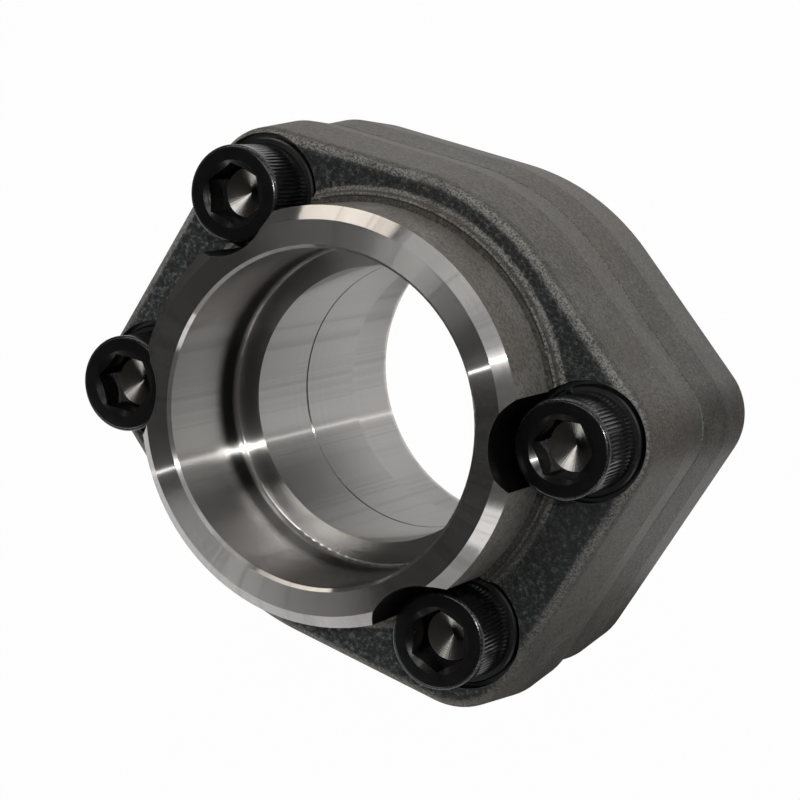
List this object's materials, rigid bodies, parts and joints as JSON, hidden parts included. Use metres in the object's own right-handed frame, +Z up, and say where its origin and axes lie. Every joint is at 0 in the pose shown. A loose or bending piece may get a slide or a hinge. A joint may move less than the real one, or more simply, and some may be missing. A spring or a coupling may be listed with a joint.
{
  "type": "bolted pair of socket-weld pipe flanges",
  "caption": "Pair of forged hydraulic socket-weld flanges with diamond-like eared plates and turned hubs, joined face to face by socket head cap screws with lock washers.",
  "frame": {"origin": "centre of the end ring on which the lower hub rests", "axes": "+Z up along the pipe axis towards the screw heads, +X along the long side of the bolt pattern"},
  "size_m": [0.1044, 0.093, 0.0888],
  "materials": {
    "forged_steel": "forged skin with turned hub faces",
    "seal_rubber": "matt",
    "black_screw_steel": "oiled black oxide",
    "washer_steel": "satin"
  },
  "bodies": {
    "root": {"front_flange": "forged_steel", "rear_flange": "forged_steel", "o_ring": "seal_rubber", "cap_screw_1": "black_screw_steel", "cap_screw_2": "black_screw_steel", "cap_screw_3": "black_screw_steel", "cap_screw_4": "black_screw_steel", "lock_washer_1": "washer_steel", "lock_washer_2": "washer_steel", "lock_washer_3": "washer_steel", "lock_washer_4": "washer_steel"}
  },
  "joints": []
}
